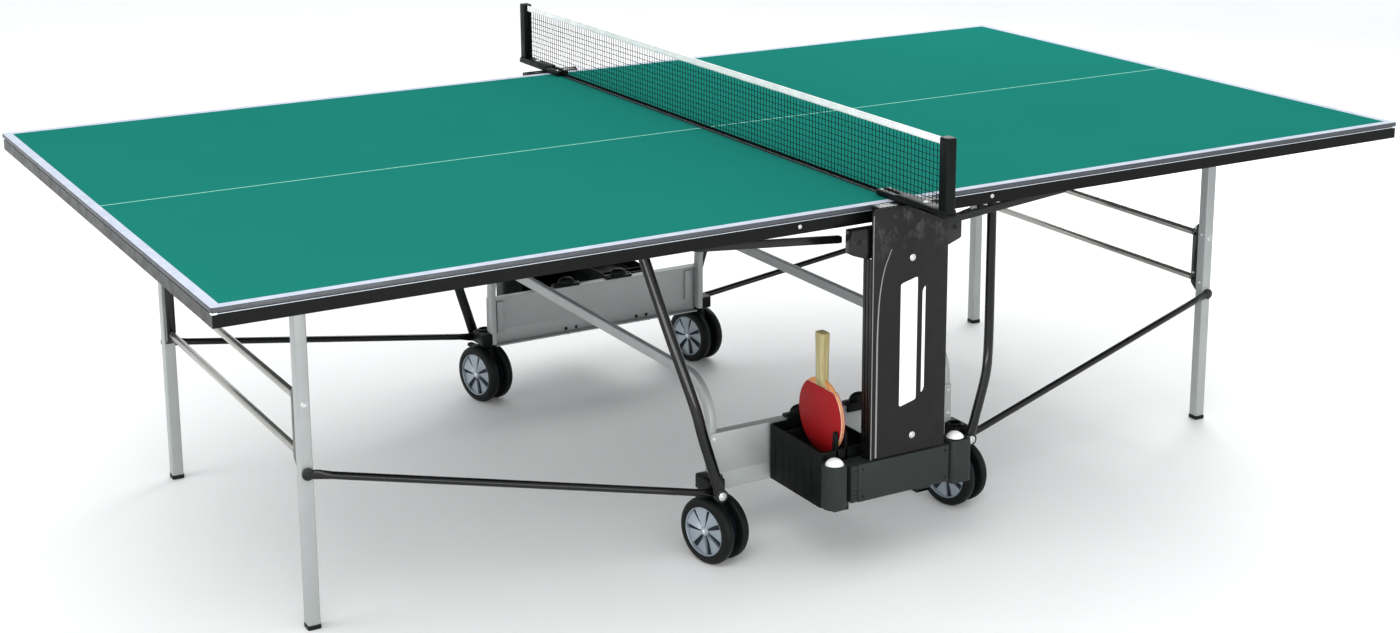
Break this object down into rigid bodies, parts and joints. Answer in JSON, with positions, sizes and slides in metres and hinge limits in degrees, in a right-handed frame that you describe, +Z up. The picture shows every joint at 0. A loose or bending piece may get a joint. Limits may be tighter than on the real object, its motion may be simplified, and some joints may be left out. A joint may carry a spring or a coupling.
{
  "type": "table tennis table",
  "caption": "Folding table tennis table: green halves on a wheeled silver centre carriage with black levers, rods, legs, net, bat tray and ball pockets.",
  "frame": {"origin": "on the floor, under the middle of the net", "axes": "+X along the playing length, +Y across it towards the far side, +Z up"},
  "size_m": [2.74, 1.856, 0.9155],
  "materials": {
    "board": "green matt playing surface",
    "apron": "black semi-gloss",
    "silver_steel": "silver paint",
    "chrome": "bright plated",
    "black_steel": "black gloss paint",
    "black_plastic": "fine matt grain",
    "base": "dark grey, fine grain",
    "cover": "brown-black, fine grain",
    "net": "black woven net",
    "tape": "white woven tape",
    "bat": "red rubber with wooden handle",
    "ball": "white",
    "tyre": "black tread, silver and blue-black disc"
  },
  "bodies": {
    "carriage": {"arch_left": "silver_steel", "arch_right": "silver_steel", "panel_near": "silver_steel", "rest_left_near": "black_plastic", "rest_right_near": "black_plastic", "column_near": "black_steel", "cover_near": "cover", "base_near": "base", "bat_box_near": "black_plastic", "net_post_near": "black_steel", "panel_far": "silver_steel", "rest_left_far": "black_plastic", "rest_right_far": "black_plastic", "column_far": "black_steel", "cover_far": "cover", "base_far": "base", "bat_box_far": "black_plastic", "net_post_far": "black_steel", "net": "net", "net_tape": "tape"},
    "levers_left": {"lever_left_near": "black_steel", "lever_left_far": "black_steel"},
    "half_left": {"board_left": "board", "frame_left": "apron", "lock_bar_left_near": "black_steel", "lock_bar_left_far": "black_steel"},
    "legs_left": {"leg_left_near": "silver_steel", "leg_left_far": "silver_steel", "leg_bracket_left_near": "black_steel", "leg_bracket_left_far": "black_steel", "rail_upper_left": "chrome", "rail_lower_left": "chrome"},
    "rods_left": {"rod_left_near": "black_steel", "rod_left_far": "black_steel"},
    "levers_right": {"lever_right_near": "black_steel", "lever_right_far": "black_steel"},
    "half_right": {"board_right": "board", "frame_right": "apron", "lock_bar_right_near": "black_steel", "lock_bar_right_far": "black_steel"},
    "legs_right": {"leg_right_near": "silver_steel", "leg_right_far": "silver_steel", "leg_bracket_right_near": "black_steel", "leg_bracket_right_far": "black_steel", "rail_upper_right": "chrome", "rail_lower_right": "chrome"},
    "rods_right": {"rod_right_near": "black_steel", "rod_right_far": "black_steel"},
    "fork_left_near": {"fork_left_near": "black_plastic"},
    "wheel_left_near": {"wheel_left_near": "tyre"},
    "fork_left_far": {"fork_left_far": "black_plastic"},
    "wheel_left_far": {"wheel_left_far": "tyre"},
    "fork_right_near": {"fork_right_near": "black_plastic"},
    "wheel_right_near": {"wheel_right_near": "tyre"},
    "fork_right_far": {"fork_right_far": "black_plastic"},
    "wheel_right_far": {"wheel_right_far": "tyre"},
    "bat": {"bat": "bat"},
    "ball_left": {"ball_left": "ball"},
    "ball_right": {"ball_right": "ball"}
  },
  "joints": [
    {"name": "left_lever_swing", "type": "hinge", "parent": "carriage", "child": "levers_left", "pos_m": [-0.31, 0, 0.155], "axis": [0, 1, 0], "range_deg": [0, 1.73]},
    {"name": "left_half_tilt", "type": "hinge", "parent": "levers_left", "child": "half_left", "pos_m": [-0.445, 0, 0.738], "axis": [0, 1, 0], "range_deg": [0, 27]},
    {"name": "left_legs_fold", "type": "hinge", "parent": "half_left", "child": "legs_left", "pos_m": [-1.115, 0, 0.705], "axis": [0, 1, 0], "range_deg": [-35.1, 0]},
    {"name": "left_rods_swing", "type": "hinge", "parent": "carriage", "child": "rods_left", "pos_m": [-0.31, 0, 0.155], "axis": [0, 1, 0], "range_deg": [0, 25.2]},
    {"name": "right_lever_swing", "type": "hinge", "parent": "carriage", "child": "levers_right", "pos_m": [0.31, 0, 0.155], "axis": [0, -1, 0], "range_deg": [0, 4]},
    {"name": "right_half_tilt", "type": "hinge", "parent": "levers_right", "child": "half_right", "pos_m": [0.445, 0, 0.738], "axis": [0, -1, 0], "range_deg": [0, 62]},
    {"name": "right_legs_fold", "type": "hinge", "parent": "half_right", "child": "legs_right", "pos_m": [1.115, 0, 0.705], "axis": [0, -1, 0], "range_deg": [-81, 0]},
    {"name": "right_rods_swing", "type": "hinge", "parent": "carriage", "child": "rods_right", "pos_m": [0.31, 0, 0.155], "axis": [0, -1, 0], "range_deg": [0, 58]},
    {"name": "left_near_swivel", "type": "hinge", "parent": "carriage", "child": "fork_left_near", "pos_m": [-0.3, -0.56, 0.15], "axis": [0, 0, 1], "continuous": true},
    {"name": "left_near_roll", "type": "hinge", "parent": "fork_left_near", "child": "wheel_left_near", "pos_m": [-0.3, -0.56, 0.07], "axis": [0.9659, 0.2588, 0], "continuous": true},
    {"name": "left_far_swivel", "type": "hinge", "parent": "carriage", "child": "fork_left_far", "pos_m": [-0.3, 0.56, 0.15], "axis": [0, 0, 1], "continuous": true},
    {"name": "left_far_roll", "type": "hinge", "parent": "fork_left_far", "child": "wheel_left_far", "pos_m": [-0.3, 0.56, 0.07], "axis": [0.9659, 0.2588, 0], "continuous": true},
    {"name": "right_near_swivel", "type": "hinge", "parent": "carriage", "child": "fork_right_near", "pos_m": [0.3, -0.56, 0.15], "axis": [0, 0, 1], "continuous": true},
    {"name": "right_near_roll", "type": "hinge", "parent": "fork_right_near", "child": "wheel_right_near", "pos_m": [0.3, -0.56, 0.07], "axis": [0.9659, 0.2588, 0], "continuous": true},
    {"name": "right_far_swivel", "type": "hinge", "parent": "carriage", "child": "fork_right_far", "pos_m": [0.3, 0.56, 0.15], "axis": [0, 0, 1], "continuous": true},
    {"name": "right_far_roll", "type": "hinge", "parent": "fork_right_far", "child": "wheel_right_far", "pos_m": [0.3, 0.56, 0.07], "axis": [0.9659, 0.2588, 0], "continuous": true},
    {"name": "bat_lift", "type": "slide", "parent": "carriage", "child": "bat", "axis": [0, 0, 1], "range_m": [0, 0.065]},
    {"name": "ball_left_lift", "type": "slide", "parent": "carriage", "child": "ball_left", "axis": [0, 0, 1], "range_m": [0, 0.06]},
    {"name": "ball_right_lift", "type": "slide", "parent": "carriage", "child": "ball_right", "axis": [0, 0, 1], "range_m": [0, 0.06]}
  ],
  "couplings": [
    {"joint": "left_lever_swing", "follows": "left_half_tilt", "ratio": 0.0638},
    {"joint": "left_legs_fold", "follows": "left_half_tilt", "ratio": -1.298},
    {"joint": "left_rods_swing", "follows": "left_half_tilt", "ratio": 0.931},
    {"joint": "right_lever_swing", "follows": "right_half_tilt", "ratio": 0.0638},
    {"joint": "right_legs_fold", "follows": "right_half_tilt", "ratio": -1.298},
    {"joint": "right_rods_swing", "follows": "right_half_tilt", "ratio": 0.931}
  ]
}
